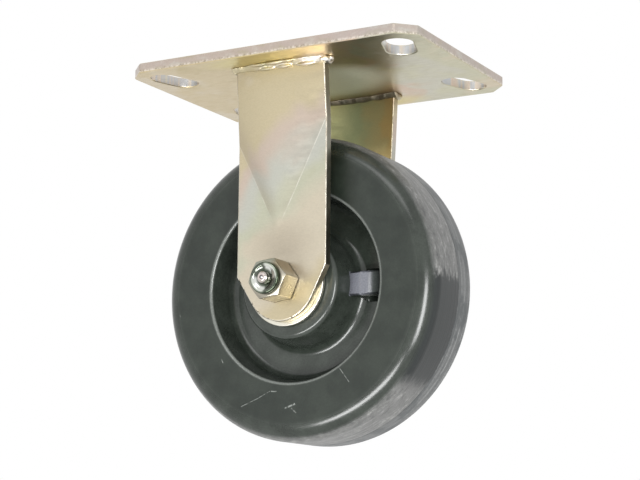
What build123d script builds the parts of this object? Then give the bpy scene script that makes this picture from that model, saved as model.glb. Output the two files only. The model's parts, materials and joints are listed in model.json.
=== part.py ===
from build123d import *
import os
from math import cos, radians, sin, sqrt, tan

# Fixed castor: slotted top plate, two pressed legs, bolt axle and a moulded wheel on rollers.
# Millimetres. +Z is up, X is the way the castor rolls and Y lies along the axle.
# The origin is the centre of the top plate's upper, mounting face.

# Bolt slots: each runs from a hole of a small bolt pattern to one of a large pattern
large_pattern_x = 133.4
large_pattern_y = 85.7
pattern_step_x = 8.0
pattern_step_y = 23.8
slot_width = 14.6
slot_edge_round = 0.6

# Top plate, with its margins outside the large bolt pattern
plate_margin_x = 14.3
plate_margin_y = 15.4
plate_thickness = 5.0
corner_clip = 9.0
corner_round = 2.0
sheared_edge = 0.4

# Wheel
wheel_diameter = 152.4
tread_width = 49.0
shoulder_radius = 9.5
recess_mouth_diameter = 95.0
recess_floor_diameter = 89.0
web_thickness = 18.0
recess_mouth_round = 1.8
recess_floor_round = 4.5
hub_diameter = 53.2
hub_root_diameter = 60.0
hub_length = 58.4
hub_edge_round = 2.5
bore_edge_round = 1.0
rib_width = 11.7
rib_edge_round = 1.0
rib_setback = 6.5

# Axle height under the mounting face
axle_drop = 114.3

# Legs, their shoulders above the axle as the near leg shows them
leg_width = 50.0
leg_thickness = 4.8
leg_end_radius = 19.0
leg_left_shoulder_rise = 4.1
leg_right_shoulder_rise = 7.4
crease_tip_drop = 88.8
crease_half_angle = 26.5
bow_radius_at_plate = 170.0
bow_tip_radius = 0.6
bow_offset = 2.2

# Weld round the top of each leg
weld_size = 3.4
weld_toe = 0.3
weld_corner_round = 2.0

# Axle bolt with its drilled grease way
bolt_diameter = 12.0
hex_across_flats = 18.4
hex_turn = 7.0
bolt_head_height = 13.2
washer_face_height = 0.5
hex_face_inset = 0.5
hex_chamfer_angle = 30.0
bolt_end_past_nut = 2.0
bolt_end_chamfer = 1.2
grease_way_diameter = 3.2
socket_spare_depth = 1.0

# Lock nut and its nylon ring
nut_height = 9.0
nut_collar_height = 3.6
nut_collar_diameter = 16.6
nut_collar_round = 1.2
nut_lip = 0.8
insert_diameter = 15.0

# Grease nipple with its ball valve
nipple_thread_diameter = 8.0
nipple_thread_length = 6.0
nipple_flange_diameter = 15.6
nipple_flange_height = 2.2
nipple_flange_round = 0.45
nipple_dish_depth = 1.0
nipple_dish_depth_midway = 0.8
nipple_rim_width = 1.2
nipple_neck_diameter = 5.2
nipple_nose_diameter = 6.0
nipple_nose_height = 4.4
nipple_tip_diameter = 3.6
ball_diameter = 2.2
valve_mouth_diameter = 1.7
valve_lip = 0.35
valve_stop_diameter = 1.4
valve_stop_length = 0.8
spring_wire = 0.3
spring_turns = 5

# Thrust washers beside the hub
washer_diameter = 41.8
washer_thickness = 2.3
washer_edge_round = 0.5

# Bushing that the bolt clamps between the legs
bushing_diameter = 19.05

# Roller bearing in the hub
roller_diameter = 5.5
roller_count = 8
roller_end_round = 0.4
cage_ring_length = 2.5
cage_bar_depth = 2.4

# Clearances
bolt_clearance = 0.15
seat_clearance = 0.05
roller_clearance = 0.03
hub_side_clearance = 0.5
cage_clearance = 0.3

# Places that follow from the sizes above
plate_length = large_pattern_x + 2 * plate_margin_x
plate_width = large_pattern_y + 2 * plate_margin_y
wheel_radius = wheel_diameter / 2
bolt_radius = bolt_diameter / 2
bushing_radius = bushing_diameter / 2
roller_radius = roller_diameter / 2
ball_radius = ball_diameter / 2
roller_circle = bushing_radius + roller_radius + roller_clearance
bore_radius = roller_circle + roller_radius + roller_clearance
leg_inner = hub_length / 2 + hub_side_clearance + washer_thickness
leg_outer = leg_inner + leg_thickness
head_back = leg_outer + washer_face_height
head_front = head_back + bolt_head_height
nut_front = leg_outer + nut_height
nut_end = nut_front + nut_collar_height
bolt_end = nut_end + bolt_end_past_nut
nipple_tip = head_front + nipple_nose_height


def across(y):
    """The plane across the axle at y, facing the near side, with its origin on the axle."""
    return Plane(origin=(0, y, -axle_drop), x_dir=(1, 0, 0), z_dir=(0, -1, 0))


def turned(points, radii=0):
    """A solid turned about the axle from (radius, y) points, with the given corner radii."""
    with BuildPart() as solid:
        with BuildSketch(Plane.XY):
            with BuildLine():
                if radii:
                    FilletPolyline(*points, radius=radii, close=True)
                else:
                    Polyline(*points, close=True)
            make_face()
        revolve(axis=Axis.Y)
    return solid.part.moved(Location((0, 0, -axle_drop)))


def tube(inner, outer, y_from, y_to):
    """A plain ring about the axle."""
    return turned([(inner, y_from), (outer, y_from), (outer, y_to), (inner, y_to)])


# Top plate: clipped corners and four slanting slots, their lower edges drawn in by the punch
slot_middle_x = large_pattern_x / 2 - pattern_step_x / 4
slot_middle_y = large_pattern_y / 2 - pattern_step_y / 4
slot_run = Vector(pattern_step_x, pattern_step_y) / 2
slot_angle = Vector(1, 0).get_angle(slot_run)

with BuildPart() as top_plate:
    with BuildSketch(Plane.XY.offset(-plate_thickness)):
        Rectangle(plate_length, plate_width)
        chamfer(vertices(), corner_clip)
    extrude(amount=plate_thickness)
    fillet(edges().filter_by(Axis.Z), corner_round)
    chamfer(edges().group_by(Axis.Z)[0] + edges().group_by(Axis.Z)[-1], sheared_edge)
    with BuildSketch(Plane.XY.offset(-plate_thickness)):
        for side_x in (-1, 1):
            for side_y in (-1, 1):
                with Locations((side_x * slot_middle_x, side_y * slot_middle_y)):
                    SlotCenterToCenter(slot_run.length, slot_width, side_x * side_y * slot_angle)
    extrude(amount=plate_thickness, mode=Mode.SUBTRACT)
    underside = faces().sort_by(Axis.Z)[0]
    fillet(underside.inner_wires().edges(), slot_edge_round)

# Legs: flat below, bowed outwards above a V-shaped crease. The bow is part of a cone whose
# tip lies on the flat, so the crease is two straight lines.
bow_height = crease_tip_drop - plate_thickness
bow_radius_rate = bow_radius_at_plate / bow_height
crease_rate = tan(radians(crease_half_angle))
bow_centre_rate = sqrt(bow_radius_rate**2 - crease_rate**2)


def leg_form(depth):
    """All that lies inside the leg's surface, where its flat part stands at depth from the middle."""
    with BuildPart() as form:
        with BuildSketch(Plane.XY):
            Rectangle(2 * leg_width, 2 * depth)
        extrude(amount=-(axle_drop + 2 * leg_end_radius))
        for height in (bow_tip_radius / bow_radius_rate, crease_tip_drop):
            with BuildSketch(Plane.XY.offset(height - crease_tip_drop)):
                with Locations((-bow_offset, height * bow_centre_rate - depth)):
                    Circle(height * bow_radius_rate)
        loft()
    return form.part


with BuildPart() as near_leg:
    with BuildSketch(Plane.XZ):
        with BuildLine():
            Polyline(
                (-leg_width / 2, leg_left_shoulder_rise - axle_drop),
                (-leg_width / 2, -plate_thickness), (leg_width / 2, -plate_thickness),
                (leg_width / 2, leg_right_shoulder_rise - axle_drop), close=True)
        make_face()
        with Locations((0, -axle_drop)):
            Circle(leg_end_radius)
        make_hull(edges())
    extrude(amount=2 * leg_outer)
    add(leg_form(leg_outer), mode=Mode.INTERSECT)
    add(leg_form(leg_inner), mode=Mode.SUBTRACT)
    with BuildSketch(across(0)):
        Circle(bolt_radius + bolt_clearance)
    extrude(amount=2 * leg_outer, mode=Mode.SUBTRACT)

with BuildPart() as far_leg:
    add(near_leg.part, rotation=(0, 0, 180))

# Welds: one fillet all round the top of each leg, under the plate
with BuildPart() as near_weld:
    for leg_gap, drop in ((weld_size, plate_thickness), (weld_toe, plate_thickness + weld_size)):
        bow_height_here = crease_tip_drop - drop
        bow_centre_here = bow_height_here * bow_centre_rate
        bow_radius_here = bow_height_here * bow_radius_rate
        with BuildSketch(Plane.XY.offset(-drop)):
            with Locations((-bow_offset, bow_centre_here - leg_outer)):
                Circle(bow_radius_here + leg_gap)
            with Locations((-bow_offset, bow_centre_here - leg_inner)):
                Circle(bow_radius_here - leg_gap, mode=Mode.SUBTRACT)
            with Locations((0, -leg_outer)):
                Rectangle(leg_width + 2 * leg_gap, leg_width, mode=Mode.INTERSECT)
            fillet(vertices(), weld_corner_round)
    loft()
    add(near_leg.part, mode=Mode.SUBTRACT)

with BuildPart() as far_weld:
    add(near_weld.part, rotation=(0, 0, 180))

# Hexagon for the bolt's head and the nut, its corners turned off by a cone
hex_corner = hex_across_flats / sqrt(3)
hex_face = hex_across_flats / 2 - hex_face_inset
hex_corner_drop = (hex_corner - hex_face) * tan(radians(hex_chamfer_angle))


def hexagon(y_near, y_far, chamfer_near, chamfer_far):
    """A hexagonal prism on the axle, chamfered at the ends that are asked for."""
    near_face = (hex_face, y_near) if chamfer_near else (hex_corner, y_near)
    far_face = (hex_face, y_far) if chamfer_far else (hex_corner, y_far)
    envelope = turned([
        (0, y_near), near_face, (hex_corner, y_near + hex_corner_drop),
        (hex_corner, y_far - hex_corner_drop), far_face, (0, y_far)])
    with BuildPart() as prism:
        with BuildSketch(across(y_far)):
            RegularPolygon(hex_across_flats / 2, 6, major_radius=False, rotation=hex_turn)
        extrude(amount=y_far - y_near)
        add(envelope, mode=Mode.INTERSECT)
    return prism.part


# Axle bolt: deep head with a washer face, drilled from the head to a cross hole at mid length
with BuildPart() as axle_bolt:
    add(hexagon(-head_front, -head_back, True, False))
    add(tube(0, hex_face, -head_back, -leg_outer))
    add(turned([
        (0, -leg_outer), (bolt_radius, -leg_outer), (bolt_radius, bolt_end - bolt_end_chamfer),
        (bolt_radius - bolt_end_chamfer, bolt_end), (0, bolt_end)]))
    with BuildSketch(across(-head_front)):
        Circle(nipple_thread_diameter / 2 + seat_clearance)
    extrude(amount=-(nipple_thread_length + socket_spare_depth), mode=Mode.SUBTRACT)
    with BuildSketch(across(-head_front)):
        Circle(grease_way_diameter / 2)
    extrude(amount=-(head_front + grease_way_diameter / 2), mode=Mode.SUBTRACT)
    with BuildSketch(Plane.XY.offset(-axle_drop)):
        Circle(grease_way_diameter / 2)
    extrude(amount=bolt_diameter, mode=Mode.SUBTRACT)

# Grease nipple: threaded shank, round flange with a shallow polished dish, nose with a valve
flange_radius = nipple_flange_diameter / 2
rim = -(head_front + nipple_flange_height)
neck_radius = nipple_neck_diameter / 2
nose_radius = nipple_nose_diameter / 2
tip_radius = nipple_tip_diameter / 2
neck_end = (rim - nipple_tip) / 2
shank_end = nipple_thread_length - head_front
valve_mouth = valve_mouth_diameter / 2
valve_bore = ball_radius + seat_clearance
valve_seat = valve_lip - nipple_tip
stop_face = shank_end - valve_stop_length

with BuildPart() as grease_nipple:
    with BuildSketch(Plane.XY):
        with BuildLine():
            stop = Polyline(
                (valve_bore, stop_face), (valve_stop_diameter / 2, stop_face),
                (valve_stop_diameter / 2, shank_end), (nipple_thread_diameter / 2, shank_end),
                (nipple_thread_diameter / 2, -head_front))
            flange = FilletPolyline(
                stop @ 1, (flange_radius, -head_front), (flange_radius, rim),
                (flange_radius - nipple_rim_width, rim), radius=nipple_flange_round)
            dish = ThreePointArc(
                flange @ 1,
                ((flange_radius + neck_radius) / 2, rim + nipple_dish_depth_midway),
                (neck_radius, rim + nipple_dish_depth))
            nose = Spline(
                dish @ 1, (nose_radius, neck_end), (tip_radius, -nipple_tip),
                tangents=((0, -1), (-1, -1)))
            Polyline(
                nose @ 1, (valve_mouth, -nipple_tip), (valve_mouth, valve_seat),
                (valve_bore, valve_seat), stop @ 0)
        make_face()
    revolve(axis=Axis.Y)
grease_nipple.part = grease_nipple.part.moved(Location((0, 0, -axle_drop)))

# Ball on its seat, pressed there by a coil spring that stands on the stop
ball_seat_rise = sqrt(ball_radius**2 - valve_mouth**2)
ball_centre = valve_seat + ball_seat_rise + seat_clearance
with BuildPart() as nipple_ball:
    with Locations((0, ball_centre, -axle_drop)):
        Sphere(ball_radius)

spring_radius = valve_bore - seat_clearance - spring_wire / 2
spring_start = ball_centre + sqrt((ball_radius + spring_wire / 2)**2 - spring_radius**2)
spring_length = stop_face - spring_wire / 2 - seat_clearance - spring_start
with BuildPart() as nipple_spring:
    with BuildLine() as coil:
        Helix(
            spring_length / spring_turns, spring_length, spring_radius,
            center=(0, spring_start + seat_clearance, -axle_drop), direction=(0, 1, 0))
    with BuildSketch(Plane(origin=coil.line @ 0, z_dir=coil.line % 0)):
        Circle(spring_wire / 2)
    sweep()

# Lock nut: hexagon with a round collar that is rolled over the nylon ring
collar_radius = nut_collar_diameter / 2
thread_radius = bolt_radius + seat_clearance
insert_radius = insert_diameter / 2
with BuildPart() as lock_nut:
    add(hexagon(leg_outer, nut_front, True, True))
    add(tube(0, collar_radius, nut_front, nut_end))
    fillet(edges().group_by(Axis.Y)[-1], nut_collar_round)
    add(tube(0, thread_radius, leg_outer, nut_end), mode=Mode.SUBTRACT)
    add(tube(0, insert_radius, nut_front, nut_end - nut_lip), mode=Mode.SUBTRACT)
    add(tube(0, (insert_radius + thread_radius) / 2, nut_front, nut_end), mode=Mode.SUBTRACT)

with BuildPart() as nut_insert:
    add(tube(thread_radius, insert_radius - seat_clearance, nut_front, nut_end - nut_lip))

# Bushing: steel sleeve with a radial grease hole
with BuildPart() as spanner_bushing:
    add(tube(bolt_radius + bolt_clearance, bushing_radius, -leg_inner, leg_inner))
    with BuildSketch(Plane.XY.offset(-axle_drop)):
        Circle(grease_way_diameter / 2)
    extrude(amount=bushing_diameter, mode=Mode.SUBTRACT)

# Thrust washers, against the inner face of each leg
washer_bore = bushing_radius + seat_clearance
thrust_washers = []
for washer_name, side in (("near_washer", -1), ("far_washer", 1)):
    with BuildPart() as thrust_washer:
        add(tube(washer_bore, washer_diameter / 2,
                 side * leg_inner, side * (leg_inner - washer_thickness)))
        fillet(edges().filter_by(GeomType.CIRCLE).sort_by(SortBy.RADIUS)[-2:], washer_edge_round)
    thrust_washer.part.label = washer_name
    thrust_washers.append(thrust_washer.part)

# Wheel: one moulding with rounded shoulders, a deep recess each side, hub, web and one broad rib
half_hub = hub_length / 2
half_tread = tread_width / 2
half_web = web_thickness / 2
rib_face = half_tread - rib_setback
rib_inner = (bore_radius + hub_diameter / 2) / 2
rib_outer = recess_mouth_diameter / 2
with BuildPart() as wheel:
    with BuildSketch(Plane.XY):
        with BuildLine():
            half_profile = FilletPolyline(
                (bore_radius, 0), (bore_radius, -half_hub), (hub_diameter / 2, -half_hub),
                (hub_root_diameter / 2, -half_web), (recess_floor_diameter / 2, -half_web),
                (recess_mouth_diameter / 2, -half_tread), (wheel_radius, -half_tread),
                (wheel_radius, 0),
                radius=[bore_edge_round, hub_edge_round, recess_floor_round,
                        recess_floor_round, recess_mouth_round, shoulder_radius])
            mirror(half_profile, about=Plane.XZ)
        make_face()
    revolve(axis=Axis.Y)
    with BuildSketch(Plane.XZ.offset(rib_face)):
        with Locations(((rib_inner + rib_outer) / 2, 0)):
            Rectangle(rib_outer - rib_inner, rib_width)
    extrude(amount=-2 * rib_face)
    rib_tops = faces().filter_by(Axis.Y).filter_by_position(Axis.Y, -rib_face, rib_face)
    rib_tops = rib_tops.group_by(Axis.Y)[0] + rib_tops.group_by(Axis.Y)[-1]
    fillet(rib_tops.edges().filter_by(Axis.X), rib_edge_round)
wheel.part = wheel.part.moved(Location((0, 0, -axle_drop)))

# Roller cage: two end rings joined by bars between the rollers
ring_inner = bushing_radius + cage_clearance
ring_outer = bore_radius - cage_clearance
ring_back = half_hub - cage_ring_length
bar_width = 2 * (roller_circle * sin(radians(180 / roller_count)) - roller_radius - cage_clearance)
bar_turn = 180 / roller_count
with BuildPart() as bearing_cage:
    for side in (-1, 1):
        add(tube(ring_inner, ring_outer, side * half_hub, side * ring_back))
    with BuildSketch(across(ring_back)):
        with PolarLocations(roller_circle, roller_count, start_angle=bar_turn):
            Rectangle(cage_bar_depth, bar_width)
    extrude(amount=2 * ring_back)

# Rollers
roller_length = 2 * (ring_back - cage_clearance)
rollers = []
for index in range(roller_count):
    turn = radians(360 * index / roller_count)
    with BuildPart() as roller:
        with BuildSketch(across(roller_length / 2)):
            with Locations((roller_circle * cos(turn), roller_circle * sin(turn))):
                Circle(roller_radius)
        extrude(amount=roller_length)
        fillet(edges().filter_by(GeomType.CIRCLE), roller_end_round)
    roller.part.label = f"roller_{index + 1}"
    rollers.append(roller.part)

top_plate.part.label = "top_plate"
near_leg.part.label = "near_leg"
far_leg.part.label = "far_leg"
near_weld.part.label = "near_weld"
far_weld.part.label = "far_weld"
axle_bolt.part.label = "axle_bolt"
grease_nipple.part.label = "grease_nipple"
nipple_ball.part.label = "nipple_ball"
nipple_spring.part.label = "nipple_spring"
lock_nut.part.label = "lock_nut"
nut_insert.part.label = "nut_insert"
spanner_bushing.part.label = "spanner_bushing"
wheel.part.label = "wheel"
bearing_cage.part.label = "bearing_cage"

os.makedirs("parts", exist_ok=True)
export_step(top_plate.part, "parts/top_plate.step")
export_step(near_leg.part, "parts/near_leg.step")
export_step(far_leg.part, "parts/far_leg.step")
export_step(near_weld.part, "parts/near_weld.step")
export_step(far_weld.part, "parts/far_weld.step")
export_step(axle_bolt.part, "parts/axle_bolt.step")
export_step(grease_nipple.part, "parts/grease_nipple.step")
export_step(nipple_ball.part, "parts/nipple_ball.step")
export_step(nipple_spring.part, "parts/nipple_spring.step")
export_step(lock_nut.part, "parts/lock_nut.step")
export_step(nut_insert.part, "parts/nut_insert.step")
export_step(spanner_bushing.part, "parts/spanner_bushing.step")
export_step(wheel.part, "parts/wheel.step")
export_step(bearing_cage.part, "parts/bearing_cage.step")
for piece in thrust_washers + rollers:
    export_step(piece, f"parts/{piece.label}.step")
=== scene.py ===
import json
import random
from math import acos, atan2, cos, floor, pi, radians, sin, sqrt, tan

import bmesh
import bpy
from mathutils import Matrix, Vector, noise


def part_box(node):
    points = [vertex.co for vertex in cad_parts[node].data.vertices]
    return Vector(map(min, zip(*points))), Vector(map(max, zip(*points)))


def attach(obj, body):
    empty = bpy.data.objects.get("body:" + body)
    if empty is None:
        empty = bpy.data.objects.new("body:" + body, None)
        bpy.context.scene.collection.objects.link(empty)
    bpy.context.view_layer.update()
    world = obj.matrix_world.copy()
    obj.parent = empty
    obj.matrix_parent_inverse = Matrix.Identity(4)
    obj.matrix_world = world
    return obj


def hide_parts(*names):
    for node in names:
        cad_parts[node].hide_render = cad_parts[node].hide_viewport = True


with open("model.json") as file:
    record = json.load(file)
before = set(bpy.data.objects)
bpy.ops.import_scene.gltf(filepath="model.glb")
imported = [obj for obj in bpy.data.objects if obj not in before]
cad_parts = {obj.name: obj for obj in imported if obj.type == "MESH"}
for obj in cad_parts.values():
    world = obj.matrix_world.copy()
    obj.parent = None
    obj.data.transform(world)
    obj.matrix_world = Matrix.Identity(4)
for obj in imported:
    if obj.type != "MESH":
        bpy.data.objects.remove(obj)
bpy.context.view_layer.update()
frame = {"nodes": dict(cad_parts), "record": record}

# Top plate
# A blank sheared from 5 mm steel sheet, with clipped corners and four slanting slots that a
# punch has pressed through. It is electroplated with zinc and passivated yellow, which leaves
# a pale gold film that drifts towards rose, green and blue.


def add_node(tree, kind, inputs=(), **settings):
    """A shader node with its settings, and its inputs as (socket, value or link) pairs."""
    made = tree.nodes.new(kind)
    for key, value in settings.items():
        setattr(made, key, value)
    for socket, value in inputs:
        if isinstance(value, bpy.types.NodeSocket):
            tree.links.new(value, made.inputs[socket])
        else:
            made.inputs[socket].default_value = value
    return made


def math_of(tree, operation, first, second=0.0, clamp=False):
    """One operation on a material's values, as a link."""
    pairs = [(0, first), (1, second)]
    return add_node(tree, "ShaderNodeMath", pairs, operation=operation, use_clamp=clamp).outputs[0]


def plus(tree, first, second):
    """The sum of two values, as a link."""
    return math_of(tree, "ADD", first, second)


def minus(tree, first, second):
    """The difference of two values, as a link."""
    return math_of(tree, "SUBTRACT", first, second)


def times(tree, first, second):
    """The product of two values, as a link."""
    return math_of(tree, "MULTIPLY", first, second)


def size_of(tree, value):
    """A value without its sign, as a link."""
    return math_of(tree, "ABSOLUTE", value)


def split(tree, vector):
    """The x, y and z of a vector, as links."""
    return add_node(tree, "ShaderNodeSeparateXYZ", [(0, vector)]).outputs


def vector_of(tree, operation, first, second):
    """One operation on two vectors, as a link."""
    pairs = [(0, first), (1, second)]
    return add_node(tree, "ShaderNodeVectorMath", pairs, operation=operation).outputs["Vector"]


def distance_along(tree, place, way):
    """How far a place lies in one direction, as a link."""
    pairs = [(0, place), (1, way)]
    return add_node(tree, "ShaderNodeVectorMath", pairs, operation="DOT_PRODUCT").outputs["Value"]


def stretched(tree, scale=(1, 1, 1), shift=(0, 0, 0)):
    """Object coordinates, stretched and moved, as a link."""
    start = add_node(tree, "ShaderNodeTexCoord").outputs["Object"]
    pairs = [("Vector", start), ("Scale", scale), ("Location", shift)]
    return add_node(tree, "ShaderNodeMapping", pairs).outputs[0]


def clouds(tree, coordinates, size, detail=3.0, rough=0.5, twist=0.0):
    """Noise whose lumps are about size across, as a link from 0 to 1."""
    pairs = [("Vector", coordinates), ("Scale", 1 / size), ("Detail", detail)]
    pairs += [("Roughness", rough), ("Distortion", twist)]
    return add_node(tree, "ShaderNodeTexNoise", pairs).outputs[0]


def opaque(colour):
    """A colour as a socket takes it. A single number is a grey."""
    return (*colour, 1) if isinstance(colour, tuple) else (colour, colour, colour, 1)


def ramp(tree, factor, stops, smooth="EASE"):
    """A ramp over (place, colour) stops, as a link."""
    made = add_node(tree, "ShaderNodeValToRGB", [("Fac", factor)])
    made.color_ramp.interpolation = smooth
    elements = made.color_ramp.elements
    while len(elements) < len(stops):
        elements.new(1.0)
    for element, (place, colour) in zip(elements, stops):
        element.position = place
        element.color = opaque(colour)
    return made.outputs[0]


def ramp_over(tree, length, stops, smooth="EASE"):
    """A ramp over stops whose places are in metres, as a link."""
    span = stops[-1][0]
    share = math_of(tree, "DIVIDE", length, span)
    return ramp(tree, share, [(place / span, colour) for place, colour in stops], smooth)


def mixed(tree, factor, first, second, blend="MIX"):
    """Two colours mixed, as a link. Each is a link, three numbers or a grey."""
    pairs = [(0, factor)]
    for socket, colour in ((6, first), (7, second)):
        pairs.append((socket, colour if isinstance(colour, bpy.types.NodeSocket) else opaque(colour)))
    return add_node(tree, "ShaderNodeMix", pairs, data_type="RGBA", blend_type=blend).outputs[2]


def raised(tree, height, depth, strength=1.0, under=None):
    """A bump of the given depth, laid over another one, as a link."""
    pairs = [("Height", height), ("Distance", depth), ("Strength", strength)]
    if under is not None:
        pairs.append(("Normal", under))
    return add_node(tree, "ShaderNodeBump", pairs).outputs[0]


def new_finish(name, sockets):
    """A material with the values that are the same all over set on its shader's sockets."""
    material = bpy.data.materials.new(name)
    material.use_nodes = True
    shader = material.node_tree.nodes["Principled BSDF"]
    for key, value in sockets.items():
        shader.inputs[key].default_value = value
    return material, material.node_tree, shader


def connect(tree, shader, links):
    """Joins links to a shader's sockets."""
    for key, value in links.items():
        tree.links.new(value, shader.inputs[key])


def soft_patch(tree, place, middle, reach, softness):
    """A soft round patch about a point, with its reach along each axis, as a link from 0 to 1."""
    share = vector_of(tree, "DIVIDE", vector_of(tree, "SUBTRACT", place, middle), reach)
    far = add_node(tree, "ShaderNodeVectorMath", [(0, share)], operation="LENGTH")
    return ramp(tree, far.outputs["Value"], [(1 - softness, 1), (1.0, 0)])


STRAW = (0.530, 0.460, 0.312)
ROSE = (0.535, 0.448, 0.375)
PALE_BLUE = (0.490, 0.492, 0.435)
PALE_GREEN = (0.490, 0.492, 0.385)
CREAM = (0.560, 0.505, 0.400)
OLIVE_GOLD = (0.36, 0.31, 0.13)
FILM_ROUND = [
    (0.0, CREAM), (0.10, STRAW), (0.34, STRAW), (0.45, ROSE), (0.55, PALE_BLUE), (0.66, PALE_GREEN),
    (0.78, CREAM), (1.0, CREAM)]
drift_lump = 0.030
smudge_lump = 0.016
grain_lump = 0.0011
grain_depth = 0.00001
gloss_lump = 0.006
dent_lump = 0.014
dent_depth = 0.00010


def chromate(tree, place, drift_way, drift_size, start, smudges, wander=0.40):
    """The film's colour, as a link. It drifts along drift_way and comes round again every
    drift_size metres; smudges of olive gold stay where it drained."""
    along = distance_along(tree, place, Vector(drift_way).normalized() / drift_size)
    drift = clouds(tree, place, drift_lump, 2.0, 0.45, 0.8)
    phase = plus(tree, along, times(tree, minus(tree, drift, 0.5), wander))
    wave = math_of(tree, "FRACT", plus(tree, phase, start))
    patches = clouds(tree, stretched(tree, shift=(3, 1, 2)), smudge_lump, 4.0, 0.6, 0.5)
    patches = ramp(tree, patches, [(0.52, 0), (0.80, 1)])
    return mixed(tree, times(tree, patches, smudges), ramp(tree, wave, FILM_ROUND), OLIVE_GOLD)


def plated(tree, shader, film, grain, roughness, glint_gloss=None):
    """Joins a film to its shader, over the faint rolling grain of the steel below."""
    speckle = clouds(tree, stretched(tree, grain), grain_lump, 3.0, 0.6)
    film = mixed(tree, 1.0, film, ramp(tree, speckle, [(0.25, 0.95), (0.75, 1.04)]), "MULTIPLY")
    gloss = clouds(tree, stretched(tree, grain), gloss_lump, 4.0)
    gloss = ramp(tree, gloss, [(0.3, roughness - 0.04), (0.7, roughness + 0.06)])
    if glint_gloss is not None:
        gloss = mixed(tree, glint_gloss, gloss, roughness - 0.12)
    grain_bump = raised(tree, speckle, grain_depth, 0.12)
    dents = clouds(tree, stretched(tree), dent_lump, 2.0)
    dents = raised(tree, dents, dent_depth, 0.35, grain_bump)
    connect(tree, shader, {"Base Color": film, "Roughness": gloss, "Normal": dents})


def dress(node, material):
    """Gives a CAD node its finish."""
    made = frame["nodes"][node]
    made.data.materials.clear()
    made.data.materials.append(material)


plate_low, plate_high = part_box("top_plate")
edge_reach = 0.0060
between_legs_shade_reach = (0.050, 0.036, 0.010)
near_drain = (-0.010, -0.050, plate_low.z)
far_drain = (0.010, 0.050, plate_low.z)
drain_reach = (0.036, 0.013, 0.010)
PLATE_FILM = (1.14, 1.09, 1.00)
SHADE_GREY_FILM = (0.86, 0.85, 0.69)
GOLD_FILM = (0.66, 0.57, 0.27)
SLOT_TINTS = [
    (0.30, (0.66, 0.50, 0.42)), (0.45, (0.66, 0.58, 0.50)), (0.55, (0.50, 0.52, 0.56)),
    (0.70, (0.66, 0.62, 0.52))]
EDGE_TINTS = [(0.30, (0.42, 0.37, 0.31)), (0.50, (0.46, 0.39, 0.37)), (0.70, (0.52, 0.49, 0.46))]
TORN_TINTS = [(0.36, (0.24, 0.20, 0.14)), (0.46, (0.52, 0.46, 0.38)), (0.60, (0.86, 0.80, 0.72))]


def sheared_zinc():
    """The plate's film: greyer and less metallic between the legs as painted shade, olive gold before the
    welds, torn at its edges.
    """
    material, tree, shader = new_finish("yellow zinc on sheared plate", {})
    place = stretched(tree)
    film = chromate(tree, place, (1, 0.2, 0), 0.240, 0.36, 0.35, 0.55)
    film = mixed(tree, 1.0, film, PLATE_FILM, "MULTIPLY")
    x, y, z = split(tree, place)
    depth = math_of(tree, "DIVIDE", z, plate_low.z)
    under = ramp(tree, depth, [(0.90, 0), (0.97, 1)], "LINEAR")
    # painted shade: a greyer, less metallic film between the legs stands in for the shade and the dark
    # wheel reflected there
    between_legs_shade = soft_patch(tree, place, (0, 0, plate_low.z), between_legs_shade_reach, 0.5)
    between_legs_shade = times(tree, between_legs_shade, under)
    film = mixed(tree, times(tree, between_legs_shade, 0.95), film, SHADE_GREY_FILM)
    metal = mixed(tree, between_legs_shade, 1, 0.62)
    gold = soft_patch(tree, place, near_drain, drain_reach, 0.7)
    gold = plus(tree, gold, soft_patch(tree, place, far_drain, drain_reach, 0.7))
    film = mixed(tree, times(tree, times(tree, gold, under), 0.9), film, GOLD_FILM)

    # the slots' punched walls hold bands of tint; the outer edges are torn below the shear's bite
    inner = times(
        tree, math_of(tree, "LESS_THAN", size_of(tree, x), plate_high.x - edge_reach),
        math_of(tree, "LESS_THAN", size_of(tree, y), plate_high.y - edge_reach))
    walls = ramp(tree, depth, [(0.02, 0), (0.06, 1), (0.88, 1), (0.95, 0)], "LINEAR")
    bands = ramp(tree, clouds(tree, stretched(tree, (1, 1, 0.12)), 0.0050, 2.0, 0.5), SLOT_TINTS)
    edge = ramp(tree, clouds(tree, stretched(tree, (1, 1, 2)), 0.008, 4.0, 0.6), EDGE_TINTS)
    torn_bits = ramp(tree, clouds(tree, place, 0.0012, 3.0, 0.6), TORN_TINTS)
    torn_zone = ramp(tree, depth, [(0.62, 0), (0.86, 1)], "LINEAR")
    edge = mixed(tree, times(tree, torn_zone, 0.75), edge, torn_bits)
    film = mixed(tree, times(tree, walls, 0.8), film, mixed(tree, inner, edge, bands))
    plated(tree, shader, film, (1, 3, 1), 0.34)
    connect(tree, shader, {"Metallic": metal})
    return material


dress("top_plate", sheared_zinc())

# Legs
# Two like pieces pressed from 4.8 mm strip. The upper part is bowed outwards and runs into the
# flat at a V-shaped crease; the foot tapers to a round end about the axle. Both are plated
# with the plate, after welding.
leg_low, leg_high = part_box("near_leg")
leg_width = leg_high.x - leg_low.x
leg_top = leg_high.z
leg_face = -0.0368
leg_thickness = 0.0048
foot_radius = 0.0190
axle_height = leg_low.z + foot_radius
left_shoulder = axle_height + 0.0041
right_shoulder = axle_height + 0.0074
crease_tip = -0.0888
crease_slope = tan(radians(26.5))
bow_radius = 0.170
bow_middle = -0.0022
crease_softness = 0.00030
tip_softness = 0.0011
softness_fall = 0.05
softness_rise = 0.10
leg_hole_radius = 0.00615
leg_edge_round = 0.00055
leg_slice = 0.0015
foot_steps = 40
hole_steps = 64
rim_finish = 1
inner_finish = 2


def piece_from(bm, name, body, replaced, slot, *materials):
    """Turns a bmesh into a smooth piece that rides on a body and stands for CAD nodes."""
    mesh = bpy.data.meshes.new(name)
    bm.to_mesh(mesh)
    bm.free()
    mesh.shade_smooth()
    for material in materials:
        mesh.materials.append(material)
    piece = bpy.data.objects.new(name, mesh)
    bpy.context.scene.collection.objects.link(piece)
    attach(piece, body)
    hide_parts(*replaced)
    return piece


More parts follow.
